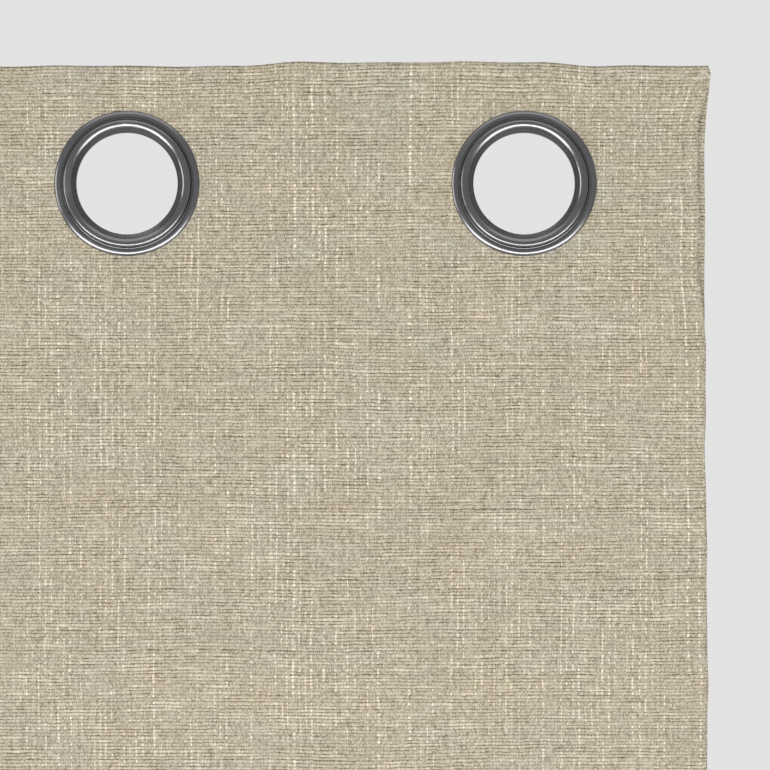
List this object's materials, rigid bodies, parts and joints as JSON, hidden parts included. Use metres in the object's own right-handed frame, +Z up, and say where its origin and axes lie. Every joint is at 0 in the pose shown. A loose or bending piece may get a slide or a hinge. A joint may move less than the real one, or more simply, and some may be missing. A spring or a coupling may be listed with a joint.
{
  "type": "grommet curtain panel",
  "caption": "Flat unlined curtain panel in linen-look woven cloth with dark snap grommets in a folded header; it gathers in soft folds along its rod line.",
  "frame": {"origin": "on the rod line, the line through the centres of the grommets, halfway along the panel's width and halfway through the header's thickness", "axes": "+Z up along the panel's length, X along its width and along the rod, -Y towards the room (the face side) and +Y towards the wall"},
  "size_m": [1.27, 0.0101, 2.134],
  "materials": {
    "cloth": "linen-look plain weave in oatmeal beige, matt, with slubs",
    "interfacing": "white bonded non-woven stiffener",
    "label": "white satin tape, blank",
    "grommet": "polished dark gunmetal plating"
  },
  "bodies": {
    "edge_band": {"cloth_edge_band": "cloth", "side_hem_right": "cloth"},
    "strip_8": {"cloth_strip_8": "cloth", "header_interfacing_8": "interfacing", "grommet_front_8": "grommet", "grommet_back_8": "grommet"},
    "strip_7": {"cloth_strip_7": "cloth", "header_interfacing_7": "interfacing", "grommet_front_7": "grommet", "grommet_back_7": "grommet"},
    "strip_6": {"cloth_strip_6": "cloth", "header_interfacing_6": "interfacing", "grommet_front_6": "grommet", "grommet_back_6": "grommet"},
    "strip_5": {"cloth_strip_5": "cloth", "header_interfacing_5": "interfacing", "grommet_front_5": "grommet", "grommet_back_5": "grommet"},
    "strip_4": {"cloth_strip_4": "cloth", "header_interfacing_4": "interfacing", "grommet_front_4": "grommet", "grommet_back_4": "grommet"},
    "strip_3": {"cloth_strip_3": "cloth", "header_interfacing_3": "interfacing", "grommet_front_3": "grommet", "grommet_back_3": "grommet"},
    "strip_2": {"cloth_strip_2": "cloth", "header_interfacing_2": "interfacing", "grommet_front_2": "grommet", "grommet_back_2": "grommet"},
    "strip_1": {"cloth_strip_1": "cloth", "header_interfacing_1": "interfacing", "grommet_front_1": "grommet", "grommet_back_1": "grommet", "side_hem_left": "cloth", "care_label": "label"}
  },
  "joints": [
    {"name": "gather", "type": "hinge", "parent": "edge_band", "child": "strip_8", "pos_m": [0.6096, -0.0012, 0], "axis": [0, 0, 1], "range_deg": [0, 75]},
    {"name": "fold_7_8", "type": "hinge", "parent": "strip_8", "child": "strip_7", "pos_m": [0.48129, 0.0012, 0], "axis": [0, 0, 1], "range_deg": [-150, 0]},
    {"name": "fold_6_7", "type": "hinge", "parent": "strip_7", "child": "strip_6", "pos_m": [0.32086, -0.0012, 0], "axis": [0, 0, 1], "range_deg": [0, 150]},
    {"name": "fold_5_6", "type": "hinge", "parent": "strip_6", "child": "strip_5", "pos_m": [0.16043, 0.0012, 0], "axis": [0, 0, 1], "range_deg": [-150, 0]},
    {"name": "fold_4_5", "type": "hinge", "parent": "strip_5", "child": "strip_4", "pos_m": [0, -0.0012, 0], "axis": [0, 0, 1], "range_deg": [0, 150]},
    {"name": "fold_3_4", "type": "hinge", "parent": "strip_4", "child": "strip_3", "pos_m": [-0.16043, 0.0012, 0], "axis": [0, 0, 1], "range_deg": [-150, 0]},
    {"name": "fold_2_3", "type": "hinge", "parent": "strip_3", "child": "strip_2", "pos_m": [-0.32086, -0.0012, 0], "axis": [0, 0, 1], "range_deg": [0, 150]},
    {"name": "fold_1_2", "type": "hinge", "parent": "strip_2", "child": "strip_1", "pos_m": [-0.48129, 0.0012, 0], "axis": [0, 0, 1], "range_deg": [-150, 0]}
  ],
  "couplings": [
    {"joint": "fold_7_8", "follows": "gather", "ratio": -2},
    {"joint": "fold_6_7", "follows": "gather", "ratio": 2},
    {"joint": "fold_5_6", "follows": "gather", "ratio": -2},
    {"joint": "fold_4_5", "follows": "gather", "ratio": 2},
    {"joint": "fold_3_4", "follows": "gather", "ratio": -2},
    {"joint": "fold_2_3", "follows": "gather", "ratio": 2},
    {"joint": "fold_1_2", "follows": "gather", "ratio": -2}
  ]
}
